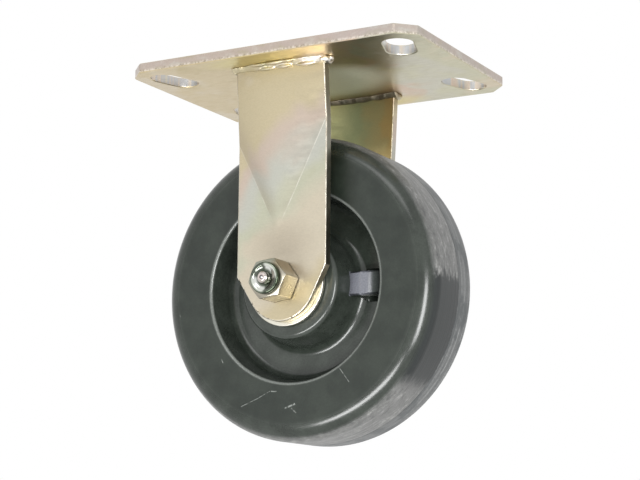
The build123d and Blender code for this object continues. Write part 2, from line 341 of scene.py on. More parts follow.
def keep_flats(piece):
    """Lets broad faces rule the shading of the rounded edges beside them."""
    piece.modifiers.new("keep flats", "WEIGHTED_NORMAL").keep_sharp = True


def only(geom, kind):
    """The verts, edges or faces among the geometry that an operator made."""
    return [item for item in geom if isinstance(item, kind)]


def slice_faces(bm, axis, start, stop, step):
    """Cuts every face by planes a step apart, so that it can be curved."""
    count = round((stop - start) / step)
    for index in range(1, count):
        place = start + (stop - start) * index / count
        bmesh.ops.bisect_plane(
            bm, geom=bm.verts[:] + bm.edges[:] + bm.faces[:], dist=1e-7,
            plane_co=axis * place, plane_no=axis)


def round_rims(bm, least_turn, offset, segments, finish=0):
    """Rounds each edge that turns by more than an angle, and gives the rounding its own finish."""
    rims = [edge for edge in bm.edges if edge.is_manifold and edge.calc_face_angle() > least_turn]
    rounded = bmesh.ops.bevel(
        bm, geom=rims, offset=offset, offset_type="OFFSET", segments=segments,
        profile=0.5, material=-1, affect="EDGES")
    for face in rounded["faces"]:
        face.material_index = finish


def bow_out(x, z):
    """How far the leg bulges outwards at a place on it."""
    height = z - crease_tip
    if height <= 0:
        return 0.0
    rate = bow_radius / (leg_top - crease_tip)
    middle_rate = sqrt(rate**2 - crease_slope**2)
    radius = height * rate
    bulge = sqrt(max(radius**2 - (x - bow_middle)**2, 0)) - height * middle_rate
    softness = max(crease_softness, tip_softness - height * softness_fall)
    softness = min(softness, height * softness_rise)
    return (bulge + sqrt(bulge**2 + softness**2)) / 2


def leg_mesh():
    """The near leg: outline and hole filled, sliced, bowed, thickened and its rims rounded."""
    bm = bmesh.new()
    turns = []
    for shoulder in (right_shoulder, left_shoulder):
        reach = Vector((leg_width / 2, shoulder - axle_height))
        turns.append(atan2(reach.y, reach.x) - acos(foot_radius / reach.length))
    start = bm.verts.new((
        foot_radius * cos(turns[0]), leg_face, axle_height + foot_radius * sin(turns[0])))
    bmesh.ops.spin(
        bm, geom=[start], cent=(0, leg_face, axle_height), axis=(0, 1, 0),
        angle=pi + turns[0] + turns[1], steps=foot_steps)
    bm.verts.ensure_lookup_table()
    ends = [vert for vert in bm.verts if len(vert.link_edges) == 1]
    right = max(ends, key=lambda vert: vert.co.x)
    left = min(ends, key=lambda vert: vert.co.x)
    corners = [
        bm.verts.new((leg_width / 2 * side, leg_face, height))
        for side, height in ((1, right_shoulder), (1, leg_top), (-1, leg_top), (-1, left_shoulder))]
    chain = [right, *corners, left]
    for first, second in zip(chain, chain[1:]):
        bm.edges.new((first, second))
    bmesh.ops.create_circle(
        bm, cap_ends=False, segments=hole_steps, radius=leg_hole_radius,
        matrix=Matrix.Translation((0, leg_face, axle_height)) @ Matrix.Rotation(pi / 2, 4, "X"))
    bmesh.ops.triangle_fill(bm, use_beauty=True, edges=bm.edges[:], normal=(0, -1, 0))
    slice_faces(bm, Vector((0, 0, 1)), leg_low.z, leg_top, leg_slice)
    slice_faces(bm, Vector((1, 0, 0)), leg_low.x, leg_high.x, leg_slice)
    for vert in bm.verts:
        vert.co.y -= bow_out(vert.co.x, vert.co.z)
    made = bmesh.ops.extrude_face_region(bm, geom=bm.faces[:])
    for face in only(made["geom"], bmesh.types.BMFace):
        face.material_index = inner_finish
    bmesh.ops.translate(bm, verts=only(made["geom"], bmesh.types.BMVert), vec=(0, leg_thickness, 0))
    bmesh.ops.recalc_face_normals(bm, faces=bm.faces[:])
    round_rims(bm, radians(60), leg_edge_round, 3, rim_finish)
    return bm


leg_grain = (1, 1, 2.5)
crease_line = 0.0005
vee_shade = 0.0110
above_bolt_middle = (0.001, 0, axle_height + 0.018)
above_bolt_reach = (0.026, 0.200, 0.018)
ABOVE_BOLT_FILM = (0.40, 0.350, 0.275)
CREASE_SHADE = (0.36, 0.31, 0.24)
PAINTED_CREASE_GLINT = (0.86, 0.83, 0.74)
SHADED_STRIP_SIDE = (0.16, 0.15, 0.11)


def pressed_zinc():
    """The legs' outer film: a darker, browner patch over the bolt, painted glints along the crease's
    lines and painted shade inside the V.
    """
    material, tree, shader = new_finish("yellow zinc on pressed strip", {"Metallic": 1.0})
    place = stretched(tree)
    film = chromate(tree, place, (0.6, 0.0, -0.8), 0.105, 0.10, 0.20, 0.30)
    x, y, z = split(tree, place)
    # the film is darker and browner in a patch just above the bolt
    above_bolt_patch = soft_patch(tree, place, above_bolt_middle, above_bolt_reach, 0.95)
    film = mixed(tree, times(tree, above_bolt_patch, 0.70), film, ABOVE_BOLT_FILM)

    # the crease's two lines carry a painted glint, stronger on the right one, and painted shade darkens
    # the film inside the V between them
    facing = times(tree, math_of(tree, "SIGN", y), -1)
    beside = minus(tree, times(tree, x, facing), bow_middle)
    rise = times(tree, minus(tree, z, crease_tip), crease_slope)
    gap = minus(tree, rise, size_of(tree, beside))
    inside_vee = math_of(tree, "GREATER_THAN", gap, 0.0)
    across = plus(tree, math_of(tree, "DIVIDE", beside, leg_width), 0.5)
    right_way = ramp(tree, across, [(0.44, 0), (0.56, 1)])
    # painted shade inside the V, deepest beside the left line
    painted_vee_shade = ramp_over(tree, gap, [(0, 1), (vee_shade, 0)])
    fading = ramp_over(tree, rise, [(0.0015, 0), (0.0065, 1)])
    painted_vee_shade = times(tree, painted_vee_shade, times(tree, inside_vee, fading))
    painted_vee_shade = times(tree, painted_vee_shade, ramp(tree, right_way, [(0, 0.38), (1, 0.20)]))
    film = mixed(tree, painted_vee_shade, film, CREASE_SHADE)
    # painted highlight: a thin glint along each crease line, broken up by noise, with a glossier finish
    off_line = math_of(tree, "DIVIDE", size_of(tree, gap), crease_line)
    line = math_of(tree, "SUBTRACT", 1.0, off_line, clamp=True)
    line = times(tree, line, fading)
    line = times(tree, line, ramp(tree, right_way, [(0, 0.22), (1, 0.6)]))
    line = times(tree, line, ramp(tree, clouds(tree, place, 0.006, 3.0), [(0.35, 0.25), (0.6, 1)]))
    film = mixed(tree, line, film, PAINTED_CREASE_GLINT)

    # painted shade: the near leg's right side is painted dark, standing in for the shade and the dark
    # things it reflects
    near_side_shade = math_of(tree, "GREATER_THAN", x, leg_high.x - 0.0001)
    near_side_shade = times(tree, near_side_shade, math_of(tree, "LESS_THAN", y, 0.0))
    film = mixed(tree, times(tree, near_side_shade, 0.85), film, SHADED_STRIP_SIDE)
    plated(tree, shader, film, leg_grain, 0.36, line)
    return material


def rim_zinc():
    """The strip's rounded rims, where the film has been rubbed thin."""
    material, tree, shader = new_finish("zinc rubbed pale on the strip's rims", {"Metallic": 1.0})
    rubbing = clouds(tree, stretched(tree), 0.004, 3.0)
    film = ramp(tree, rubbing, [(0.3, (0.50, 0.45, 0.36)), (0.7, (0.70, 0.66, 0.56))])
    plated(tree, shader, film, (1, 1, 1), 0.28)
    return material


SHADED_INNER_TINTS = [
    (0.02, (0.40, 0.29, 0.13)), (0.20, (0.34, 0.30, 0.16)), (0.45, (0.27, 0.30, 0.18)),
    (0.70, (0.32, 0.33, 0.20)), (1.0, (0.42, 0.37, 0.20))]
INNER_GOLD = (0.78, 0.66, 0.36)


def inner_zinc():
    """The film on the legs' inner sides, painted darker as shade, browner at one edge as a painted
    reflection, and golden lower down.
    """
    material, tree, shader = new_finish("yellow zinc inside the legs", {"Metallic": 1.0})
    place = stretched(tree)
    x, y, z = split(tree, place)
    drift = minus(tree, clouds(tree, place, 0.012, 3.0), 0.5)
    beside = math_of(tree, "DIVIDE", times(tree, x, math_of(tree, "SIGN", y)), leg_width)
    level = plus(tree, minus(tree, 0.5, beside), times(tree, drift, 0.5))
    down = plus(tree, times(tree, z, -1), times(tree, drift, 0.010))
    low = ramp_over(tree, down, [(0.030, 0), (0.048, 1)])
    film = mixed(tree, low, ramp(tree, level, SHADED_INNER_TINTS), INNER_GOLD)
    plated(tree, shader, film, leg_grain, 0.38)
    return material


leg_finishes = [pressed_zinc(), rim_zinc(), inner_zinc()]
keep_flats(piece_from(
    leg_mesh(), "near_leg_pressed", "bracket", ["near_leg"], "zinc_leg", *leg_finishes))
half_turn = Matrix.Rotation(pi, 3, "Z")
far_leg_mesh = leg_mesh()
bmesh.ops.rotate(far_leg_mesh, verts=far_leg_mesh.verts[:], cent=(0, 0, 0), matrix=half_turn)
keep_flats(piece_from(
    far_leg_mesh, "far_leg_pressed", "bracket", ["far_leg"], "zinc_leg", *leg_finishes))

# Wheel
# One moulding of dark, glass-hard phenolic: a broad tread with rounded shoulders, a recess each
# side, a hub and one broad rib. The side faces are rubbed dull, the recesses keep the mould's
# gloss, and the far part of the tread has been turned, up to a witness line.
wheel_low, wheel_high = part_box("wheel")
wheel_radius = (wheel_high.x - wheel_low.x) / 2
half_hub = (wheel_high.y - wheel_low.y) / 2
half_tread = 0.0245
half_web = 0.0090
shoulder_radius = 0.0095
bore_radius = 0.015085
hub_radius = 0.0266
hub_root_radius = 0.0300
recess_floor_radius = 0.0445
recess_mouth_radius = 0.0475
bore_round = 0.0010
hub_round = 0.0026
recess_fillet = 0.0045
mouth_round = 0.0018
witness_line = 0.0040
witness_depth = 0.00035
rib_width = 0.0117
rib_face = 0.0180
rib_round = 0.0010
rib_flare = 0.0024
rib_foot_round = 0.0020
rib_start = 0.0200
wheel_steps = 240


def round_corner(bm, vert, radius, segments):
    """Rounds one corner of an open or closed outline."""
    arms = [edge.other_vert(vert).co - vert.co for edge in vert.link_edges]
    turn = pi - arms[0].angle(arms[1])
    bmesh.ops.bevel(
        bm, geom=[vert], offset=radius * tan(turn / 2), offset_type="OFFSET",
        segments=segments, profile=0.5, material=-1, affect="VERTICES")


def outline(bm, corners):
    """A closed outline of (place, rounding, segments) corners."""
    verts = [bm.verts.new(place) for place, _, _ in corners]
    for first, second in zip(verts, verts[1:] + verts[:1]):
        bm.edges.new((first, second))
    for vert, (_, rounding, segments) in zip(verts, corners):
        if rounding:
            round_corner(bm, vert, rounding, segments)


def join_to(bm, part):
    """Adds one bmesh to another, and frees it."""
    passing = bpy.data.meshes.new("passing")
    part.to_mesh(passing)
    part.free()
    bm.from_mesh(passing)
    bpy.data.meshes.remove(passing)


def turned(bm, corners, steps):
    """A closed solid turned about the axle from (radius, y, rounding, segments) corners."""
    part = bmesh.new()
    outline(part, [((radius, y, axle_height), *rounding) for radius, y, *rounding in corners])
    bmesh.ops.spin(
        part, geom=part.verts[:] + part.edges[:], cent=(0, 0, axle_height), axis=(0, 1, 0),
        angle=2 * pi, steps=steps, use_merge=True)
    bmesh.ops.remove_doubles(part, verts=part.verts[:], dist=1e-7)
    bmesh.ops.recalc_face_normals(part, faces=part.faces[:])
    join_to(bm, part)


wheel_mesh = bmesh.new()
near_half = [
    (bore_radius, -half_hub, bore_round, 3), (hub_radius, -half_hub, hub_round, 9),
    (hub_root_radius, -half_web, recess_fillet, 9), (recess_floor_radius, -half_web, recess_fillet, 9),
    (recess_mouth_radius, -half_tread, mouth_round, 7), (wheel_radius, -half_tread, shoulder_radius, 18)]
far_half = [(radius, -y, *rounding) for radius, y, *rounding in reversed(near_half)]
line_corners = [
    (wheel_radius, witness_line - witness_depth, 0, 0),
    (wheel_radius - witness_depth, witness_line, 0, 0),
    (wheel_radius, witness_line + witness_depth, 0, 0)]
turned(wheel_mesh, near_half + line_corners + far_half, wheel_steps)

# the rib's cross-section, drawn where it leaves the hub and pushed out to the recess's wall
rib_section = [
    (rib_width / 2, -rib_face, rib_round, 5), (rib_width / 2, -half_web - 0.0001, rib_foot_round, 5),
    (rib_width / 2 + rib_flare, -half_web, 0, 0), (rib_width / 2 + rib_flare, half_web, 0, 0),
    (rib_width / 2, half_web + 0.0001, rib_foot_round, 5), (rib_width / 2, rib_face, rib_round, 5)]
rib_section += [(-z, y, *rounding) for z, y, *rounding in reversed(rib_section)]
rib_mesh = bmesh.new()
outline(rib_mesh, [((rib_start, y, axle_height + z), *rounding) for z, y, *rounding in rib_section])
bmesh.ops.contextual_create(rib_mesh, geom=rib_mesh.edges[:])
pushed = bmesh.ops.extrude_face_region(rib_mesh, geom=rib_mesh.faces[:])["geom"]
bmesh.ops.translate(
    rib_mesh, verts=only(pushed, bmesh.types.BMVert), vec=(recess_mouth_radius - rib_start, 0, 0))
bmesh.ops.recalc_face_normals(rib_mesh, faces=rib_mesh.faces[:])
join_to(wheel_mesh, rib_mesh)


MOULDED = [(0.3, (0.0200, 0.0250, 0.0200)), (0.7, (0.036, 0.043, 0.036))]
RUBBED = [(0.3, (0.0050, 0.0090, 0.0055)), (0.7, (0.0140, 0.0195, 0.0140))]
RUBBED_EDGE = (0.16, 0.172, 0.160)
RIB_PAINTED_REFLECTION = (0.155, 0.160, 0.185)
DARK_BAND_TREAD = [(0.3, (0.005, 0.008, 0.008)), (0.72, (0.018, 0.022, 0.022))]
SCUFFED_TREAD = [(0.30, (0.078, 0.080, 0.078)), (0.50, (0.140, 0.141, 0.137)), (0.72, (0.30, 0.30, 0.29))]
TURNED_TREAD = [(0.28, (0.045, 0.050, 0.050)), (0.5, (0.115, 0.120, 0.120)), (0.74, (0.30, 0.305, 0.30))]
TREAD_BLOTCH = (0.050, 0.058, 0.060)
SCRATCH_GREY = (0.30, 0.32, 0.30)

# each scratch on the side faces: its start's x and z from the axle, its end's, and half its width
scratch_runs = (
    (-0.0290, -0.0583, -0.0194, -0.0546, 0.00022), (-0.0194, -0.0546, -0.0125, -0.0513, 0.00022),
    (-0.0119, -0.0514, -0.0088, -0.0516, 0.00040), (-0.0040, -0.0600, 0.0018, -0.0580, 0.00060),
    (-0.0004, -0.0600, 0.0024, -0.0624, 0.00040), (0.0254, -0.0407, 0.0315, -0.0487, 0.00022),
    (-0.0672, -0.0092, -0.0660, -0.0115, 0.00030), (-0.0410, -0.0340, -0.0400, -0.0362, 0.00030))


def from_axle(tree, place):
    """How far a place lies from the axle, as a link, where the axle is at the place's origin."""
    x, y, z = split(tree, place)
    return math_of(tree, "SQRT", plus(tree, times(tree, x, x), times(tree, z, z)))


def scratched(tree, place):
    """The side faces' scratches, as a link from 0 to 1."""
    scratches = 0.0
    for start_x, start_z, end_x, end_z, half_width in scratch_runs:
        run = Vector((end_x - start_x, 0, end_z - start_z))
        middle = Vector(((start_x + end_x) / 2, 0, (start_z + end_z) / 2))
        offset = vector_of(tree, "SUBTRACT", place, middle)
        along = distance_along(tree, offset, run.normalized())
        across = distance_along(tree, offset, run.normalized().cross((0, 1, 0)))
        inside = math_of(tree, "LESS_THAN", size_of(tree, along), run.length / 2)
        off_line = math_of(tree, "DIVIDE", size_of(tree, across), half_width)
        mark = times(tree, inside, math_of(tree, "SUBTRACT", 1.0, off_line, clamp=True))
        scratches = math_of(tree, "MAXIMUM", scratches, mark)
    broken = ramp(tree, clouds(tree, place, 0.0018, 2.0), [(0.35, 0.1), (0.6, 1)])
    return times(tree, scratches, broken)


def moulded_phenolic():
    """Charcoal phenolic: rubbed side faces, glossy recesses, a turned tread and a few scratches."""
    material, tree, shader = new_finish("dark moulded phenolic", {"IOR": 1.52})
    place = stretched(tree, shift=(0, 0, -axle_height))
    x, y, z = split(tree, place)
    radius = from_axle(tree, place)
    depth = minus(tree, half_tread, size_of(tree, y))
    on_side = times(tree, ramp_over(tree, depth, [(0, 1), (0.0022, 0)]), ramp_over(
        tree, radius, [(0.0488, 0), (0.0492, 1), (0.0664, 1), (0.0690, 0)], "LINEAR"))
    shoulder = ramp_over(tree, radius, [(0.0655, 0), (0.0668, 0.5), (0.0745, 0.3)], "LINEAR")
    on_tread = ramp_over(tree, radius, [(0.0735, 0), (0.0753, 1)], "LINEAR")
    past_line = ramp_over(tree, y, [(0.00385, 0), (0.00405, 1)], "LINEAR")
    mottle = clouds(tree, place, 0.011, 5.0, 0.6)
    fine = clouds(tree, place, 0.0009, 3.0, 0.6)
    rubbing = math_of(tree, "MAXIMUM", on_side, shoulder)
    colour = mixed(tree, rubbing, ramp(tree, mottle, MOULDED), ramp(tree, mottle, RUBBED))
    mouth = times(tree, ramp_over(tree, depth, [(0.0016, 0.8), (0.0024, 0)]), ramp_over(
        tree, radius, [(0.0473, 0), (0.0477, 1), (0.0484, 1), (0.0490, 0)], "LINEAR"))
    colour = mixed(tree, mouth, colour, RUBBED_EDGE)

    # painted reflection: the rib's face is painted lighter and lavender by the hub, fading towards the
    # recess wall
    on_rib = math_of(tree, "LESS_THAN", size_of(tree, z), rib_width / 2 + 0.0002)
    on_rib = times(tree, on_rib, ramp_over(
        tree, depth, [(0.0060, 0), (0.0064, 1), (0.0070, 1), (0.0080, 0)], "LINEAR"))
    along_rib = ramp_over(
        tree, x, [(0.0265, 0), (0.0275, 1), (0.0370, 0.85), (0.0415, 0.12), (0.0480, 0)])
    colour = mixed(tree, times(tree, on_rib, along_rib), colour, RIB_PAINTED_REFLECTION)

    # the near tread: darker over an eighth of the way round, scuffed elsewhere
    streaks = clouds(tree, stretched(tree, (6, 900, 6)), 1.0, 4.0, 0.65)
    scuffs = clouds(tree, stretched(tree, (1, 2.5, 1)), 0.006, 5.0, 0.7)
    wander = times(tree, minus(tree, scuffs, 0.5), 0.25)
    round_way = plus(tree, math_of(tree, "ARCTAN2", z, x), wander)
    round_way = plus(tree, math_of(tree, "DIVIDE", round_way, 2 * pi), 0.5)
    # the darker band: only its colour differs, its roughness is that of the rest of the tread
    smooth = ramp(tree, round_way, [(0.378, 0), (0.398, 1), (0.500, 1), (0.512, 0)])
    near_tread = mixed(
        tree, smooth, ramp(tree, scuffs, SCUFFED_TREAD), ramp(tree, streaks, DARK_BAND_TREAD))
    blotches = clouds(tree, stretched(tree, (1, 1.6, 1), shift=(2, 0, 1)), 0.013, 3.0, 0.6)
    blotches = ramp(tree, blotches, [(0.46, 0), (0.60, 0.75)])
    far_tread = mixed(tree, blotches, ramp(tree, streaks, TURNED_TREAD), TREAD_BLOTCH)
    colour = mixed(tree, on_tread, colour, mixed(tree, past_line, near_tread, far_tread))
    colour = mixed(tree, 1.0, colour, ramp(tree, fine, [(0.3, 0.84), (0.7, 1.14)]), "MULTIPLY")
    scratches = times(tree, scratched(tree, place), on_side)
    colour = mixed(tree, times(tree, scratches, 0.75), colour, SCRATCH_GREY)
    roughness = mixed(tree, on_side, 0.20, 0.40)
    roughness = mixed(tree, on_tread, roughness, ramp(tree, streaks, [(0.3, 0.34), (0.7, 0.5)]))
    turning = raised(tree, times(tree, streaks, on_tread), 0.00010, 0.6)
    pores = raised(tree, fine, 0.00001, 0.12, turning)
    ripples = raised(tree, clouds(tree, place, 0.02, 2.0), 0.0002, 0.35, pores)
    connect(tree, shader, {"Base Color": colour, "Roughness": roughness, "Normal": ripples})
    return material


keep_flats(piece_from(
    wheel_mesh, "moulded_wheel", "wheel", ["wheel"], "phenolic", moulded_phenolic()))

# Bearing
# Eight ground rollers in a pressed cage run on a hardened sleeve, which the bolt clamps
# between the legs. All of it is oiled steel and lies out of sight in the hub.


def oiled_steel(name, tint, roughness):
    """Ground steel with a thin film of oil."""
    material, tree, shader = new_finish(name, {"Metallic": 1.0})
    lines = clouds(tree, stretched(tree, (60, 900, 60)), 1.0, 3.0)
    colour = ramp(tree, lines, [(0.3, tuple(0.85 * part for part in tint)), (0.7, tint)])
    gloss = ramp(tree, lines, [(0.3, roughness), (0.7, roughness + 0.1)])
    connect(tree, shader, {"Base Color": colour, "Roughness": gloss})
    return material


bearing_steel = oiled_steel("oiled bearing steel", (0.56, 0.56, 0.55), 0.18)
cage_steel = oiled_steel("oiled pressed cage", (0.42, 0.40, 0.36), 0.32)
dress("spanner_bushing", bearing_steel)
dress("bearing_cage", cage_steel)
for node in frame["record"]["behaviour"]["bodies"]:
    if node.startswith("roller_"):
        dress(node, bearing_steel)

# Thrust washers
# Two turned steel washers that keep the hub off the legs, bright zinc plated, with a fine line
# turned in the rim.
washer_low, washer_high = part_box("near_washer")
washer_radius = (washer_high.x - washer_low.x) / 2
washer_bore = 0.009575
rim_line_depth = 0.00030
rim_line_place = 0.62
washer_bore_round = 0.0002
washer_rim_round = 0.0005
washer_steps = 144


def bright_zinc():
    """Zinc with hardly any film, over turning marks that run round the axle."""
    material, tree, shader = new_finish("bright zinc on turned steel", {"Metallic": 1.0})
    lines = clouds(tree, stretched(tree, (40, 1500, 40)), 1.0, 3.0)
    colour = ramp(tree, lines, [(0.3, (0.54, 0.51, 0.42)), (0.7, (0.74, 0.72, 0.64))])
    gloss = ramp(tree, lines, [(0.3, 0.22), (0.7, 0.34)])
    turning = raised(tree, lines, 0.00004, 0.5)
    connect(tree, shader, {"Base Color": colour, "Roughness": gloss, "Normal": turning})
    return material


washer_zinc = bright_zinc()
for node in ("near_washer", "far_washer"):
    low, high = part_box(node)
    line = low.y + rim_line_place * (high.y - low.y)
    washer_mesh = bmesh.new()
    turned(washer_mesh, [
        (washer_bore, low.y, washer_bore_round, 2), (washer_radius, low.y, washer_rim_round, 5),
        (washer_radius, line - rim_line_depth, 0, 0), (washer_radius - rim_line_depth, line, 0, 0),
        (washer_radius, line + rim_line_depth, 0, 0), (washer_radius, high.y, washer_rim_round, 5),
        (washer_bore, high.y, washer_bore_round, 2)], washer_steps)
    keep_flats(piece_from(washer_mesh, node + "_turned", "bracket", [node], "bright_zinc", washer_zinc))

# Axle bolt
# A cold-formed hexagon bolt, drilled for grease. Its deep head has a flat washer face below and
# corners turned off above, and the thread shows past the nut on the far side.
bolt_low, bolt_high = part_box("axle_bolt")
hex_turn = radians(7)
hex_across = 0.0184
head_back = leg_face - 0.0005
head_front = bolt_low.y
head_inset = 0.0005
hex_segments = 120
corner_cut = radians(30)
sharp_turn = radians(14)
head_edge_round = 0.00028
bolt_radius = 0.0060
grease_way_radius = 0.0016
thread_pitch = 0.0015
thread_depth = 0.0008
thread_round = 0.0001
bolt_steps = 96


def hexagon(bm, near_y, far_y, chamfers):
    """A hexagonal prism about the axle, its corners turned off at the ends named in chamfers."""
    flat = hex_across / 2
    rows = []
    for y, inward in ((near_y, 1), (far_y, -1)):
        ring = bmesh.ops.create_circle(
            bm, cap_ends=False, segments=hex_segments, radius=1,
            matrix=Matrix.Translation((0, y, axle_height)) @ Matrix.Rotation(pi / 2, 4, "X"))["verts"]
        for vert in ring:
            x, z = vert.co.x, vert.co.z - axle_height
            turn = (atan2(z, x) - hex_turn) % (pi / 3) - pi / 6
            reach = flat / cos(turn)
            past_face = max(reach - (flat - head_inset), 0)
            vert.co.x = x * reach
            vert.co.z = axle_height + z * reach
            if y in chamfers:
                vert.co.y = y + inward * past_face * tan(corner_cut)
        rows.append(ring)
    loops = [{edge for vert in ring for edge in vert.link_edges} for ring in rows]
    bmesh.ops.bridge_loops(bm, edges=[*loops[0], *loops[1]])
    for y, ring, loop in zip((near_y, far_y), rows, loops):
        if y in chamfers:
            made = bmesh.ops.extrude_edge_only(bm, edges=list(loop))
            face_ring = only(made["geom"], bmesh.types.BMVert)
            loop = only(made["geom"], bmesh.types.BMEdge)
            loop = [edge for edge in loop if edge.verts[0] in face_ring and edge.verts[1] in face_ring]
            for vert in face_ring:
                away = Vector((vert.co.x, 0, vert.co.z - axle_height)).normalized()
                vert.co = away * (flat - head_inset) + Vector((0, y, axle_height))
        bmesh.ops.contextual_create(bm, geom=list(loop))
    bmesh.ops.recalc_face_normals(bm, faces=bm.faces[:])


bolt_mesh = bmesh.new()
hexagon(bolt_mesh, head_front, head_back, (head_front,))
round_rims(bolt_mesh, sharp_turn, head_edge_round, 3)
face_radius = hex_across / 2 - head_inset
turned(bolt_mesh, [
    (0.002, head_back - 0.0002, 0, 0), (face_radius, head_back - 0.0002, 0, 0),
    (face_radius, leg_face, 0.0001, 2), (0.002, leg_face, 0, 0)], bolt_steps)
shank_start = leg_face + 0.0001
thread_start = -leg_face + 0.0060
thread_end = bolt_high.y - 0.0010
shank = [
    (grease_way_radius, shank_start, 0, 0), (bolt_radius, shank_start, 0, 0),
    (bolt_radius, thread_start, 0, 0)]
for index in range(floor((thread_end - thread_start) / thread_pitch)):
    start = thread_start + index * thread_pitch
    shank.append((bolt_radius - thread_depth, start + thread_pitch / 2, thread_round, 2))
    shank.append((bolt_radius, start + thread_pitch, thread_round, 2))
shank += [(bolt_radius - 0.0012, bolt_high.y, 0.0002, 2), (grease_way_radius, bolt_high.y, 0, 0)]
turned(bolt_mesh, shank, bolt_steps)

leg_reflection_middle = (0.0065, head_back - 0.006, axle_height + 0.0065)
leg_reflection_reach = (0.007, 0.012, 0.006)
HEADED_FILM = (0.62, 0.64, 0.66)
REFLECTED_LEG_BROWN = (0.20, 0.15, 0.08)


def headed_zinc():
    """The bolt's and nut's film, a little brown, with a painted brown reflection of the leg at one corner
    of the head.
    """
    material, tree, shader = new_finish("yellow zinc on cold-formed steel", {"Metallic": 1.0})
    place = stretched(tree)
    film = chromate(tree, place, (0.6, 0.2, -0.9), 0.050, 0.1, 0.5)
    film = mixed(tree, 1.0, film, HEADED_FILM, "MULTIPLY")
    # painted reflection: the leg's brown film, as the head mirrors it, darkens one corner of the head
    painted_leg_reflection = soft_patch(tree, place, leg_reflection_middle, leg_reflection_reach, 0.6)
    film = mixed(tree, times(tree, painted_leg_reflection, 0.85), film, REFLECTED_LEG_BROWN)
    plated(tree, shader, film, (1, 1, 1), 0.30)
    return material


bolt_zinc = headed_zinc()
keep_flats(piece_from(bolt_mesh, "drilled_bolt", "bracket", ["axle_bolt"], "zinc_bolt", bolt_zinc))

# Grease nipple
# A polished, plated nipple screwed into the bolt's head: a round flange with a shallow dish,
# and a nose that the grease gun grips. A ball on a coil spring shuts its mouth.
nipple_low, nipple_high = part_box("grease_nipple")
flange_radius = (nipple_high.x - nipple_low.x) / 2
flange_rim = head_front - 0.0022
nipple_tip = nipple_low.y
dish_depth = 0.0010
neck_radius = 0.0026
nose_radius = 0.0030
nose_tip_radius = 0.0018
mouth_radius = 0.00085
nipple_shank = 0.0040
nose_start = (flange_rim + nipple_tip) / 2
nipple_steps = 144
smear_turn = radians(40)
GREASE_AND_DARK_REFLECTION = (0.050, 0.062, 0.042)
nipple_mesh = bmesh.new()
turned(nipple_mesh, [
    (0.0012, nipple_high.y, 0, 0), (nipple_shank, nipple_high.y, 0.0003, 2),
    (nipple_shank, head_front, 0, 0), (flange_radius, head_front, 0.0006, 5),
    (flange_radius, flange_rim, 0.0009, 7), (flange_radius - 0.0016, flange_rim, 0.0008, 6),
    ((flange_radius + neck_radius) / 2, flange_rim + dish_depth * 0.85, 0.0030, 8),
    (neck_radius, flange_rim + dish_depth, 0.0005, 4),
    (neck_radius, nose_start + 0.0006, 0.0004, 4),
    (nose_radius, nose_start - 0.0001, 0.0005, 5),
    (nose_tip_radius, nipple_tip, 0.0006, 6), (mouth_radius, nipple_tip, 0.0001, 2),
    (mouth_radius, nipple_tip + 0.00035, 0, 0), (0.00115, nipple_tip + 0.0005, 0, 0)], nipple_steps)


def polished_plate():
    """Polished plating in rings of painted shade and painted reflection about the axle, with dark smears
    on the dish, partly old grease and partly a painted reflection.
    """
    material, tree, shader = new_finish("polished bright plating", {"Metallic": 1.0})
    place = stretched(tree, shift=(0, 0, -axle_height))
    x, y, z = split(tree, place)
    radius = from_axle(tree, place)
    # painted light in rings: the mouth and the neck's groove dark as painted shade, a bright ring on the
    # dish and the dark rim as painted reflections
    painted_light_rings = ramp_over(tree, radius, [
        (0.0, (0.05, 0.03, 0.03)), (0.00085, (0.05, 0.03, 0.03)), (0.0011, (0.60, 0.53, 0.50)),
        (0.0026, (0.52, 0.48, 0.44)), (0.0029, (0.04, 0.05, 0.035)), (0.0038, (0.11, 0.125, 0.10)),
        (0.0050, (0.72, 0.73, 0.69)), (0.0064, (0.66, 0.68, 0.62)), (0.0071, (0.28, 0.31, 0.25)),
        (0.0076, (0.06, 0.08, 0.05))])

    # two dark smears lie across from each other on the dish, clear of the nose: partly old grease, partly
    # a painted dark reflection
    around = minus(tree, math_of(tree, "ARCTAN2", z, x), smear_turn)
    smear = clouds(tree, place, 0.004, 3.0, 0.5, 0.8)
    wander = times(tree, minus(tree, smear, 0.5), 1.6)
    halves = plus(tree, math_of(tree, "COSINE", times(tree, around, 2.0)), wander)
    halves = plus(tree, times(tree, halves, 0.5), 0.5)
    off_nose = ramp_over(tree, radius, [(0.0026, 0), (0.0032, 0.88)], "LINEAR")
    grease_and_dark_reflection = times(tree, off_nose, ramp(tree, halves, [(0.30, 1), (0.62, 0)]))
    colour = mixed(tree, grease_and_dark_reflection, painted_light_rings, GREASE_AND_DARK_REFLECTION)
    gloss = ramp(tree, smear, [(0.3, 0.06), (0.7, 0.16)])
    connect(tree, shader, {"Base Color": colour, "Roughness": gloss})
    return material


keep_flats(piece_from(
    nipple_mesh, "greasing_nipple", "bracket", ["grease_nipple"], "nipple_chrome", polished_plate()))
dress("nipple_ball", bearing_steel)
dress("nipple_spring", bearing_steel)

